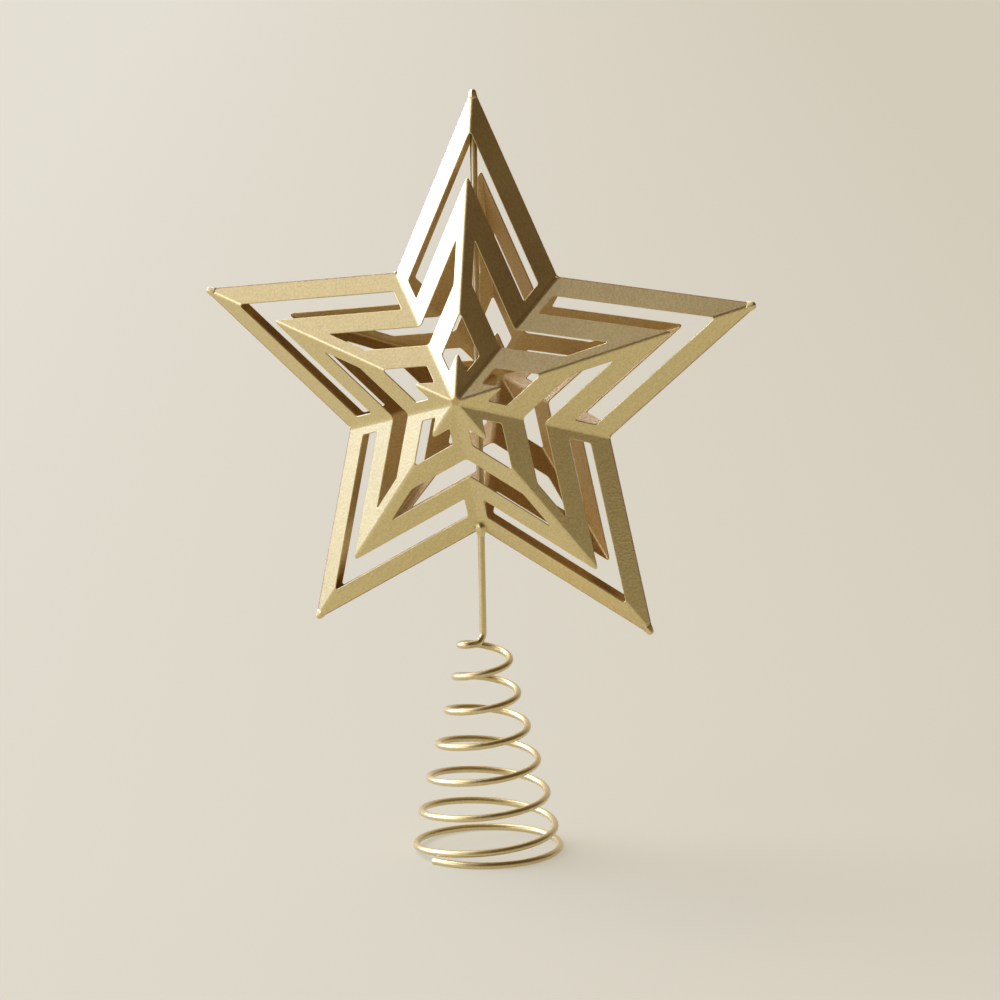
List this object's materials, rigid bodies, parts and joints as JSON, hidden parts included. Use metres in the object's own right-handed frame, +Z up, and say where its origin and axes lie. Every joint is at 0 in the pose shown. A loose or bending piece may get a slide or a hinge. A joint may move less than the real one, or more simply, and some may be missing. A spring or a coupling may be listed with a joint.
{
  "type": "christmas tree topper star",
  "caption": "Hollow pierced sheet-metal star on a stem wire that winds out into an open spring cone, which slips over a tree's top shoot.",
  "frame": {"origin": "on the table, under the stem, at the middle of the coil's foot", "axes": "+Z up along the stem to the top point, the star faces -Y, +X to its right seen from the front"},
  "size_m": [0.199, 0.0556, 0.2699],
  "materials": {
    "gold_sheet": "satin metallic gold coat, fine orange peel",
    "gold_wire": "satin metallic gold coat, smooth",
    "gold_solder": "satin metallic gold coat over solder"
  },
  "bodies": {
    "base": {"coil_spring": "gold_wire"},
    "star": {"front_star_shell": "gold_sheet", "back_star_shell": "gold_sheet", "stem_wire": "gold_wire", "tip_solder_top": "gold_solder", "tip_solder_left": "gold_solder", "tip_solder_lower_left": "gold_solder", "tip_solder_lower_right": "gold_solder", "tip_solder_right": "gold_solder", "corner_solder_upper_left": "gold_solder", "corner_solder_side_left": "gold_solder", "stem_solder": "gold_solder", "corner_solder_side_right": "gold_solder", "corner_solder_upper_right": "gold_solder"}
  },
  "joints": [
    {"name": "coil_press", "type": "slide", "parent": "base", "child": "star", "axis": [0, 0, 1], "range_m": [-0.03, 0.015], "stiffness_N_per_m": 1270, "springref_m": 0.00089, "deforming": ["coil_spring"]}
  ]
}
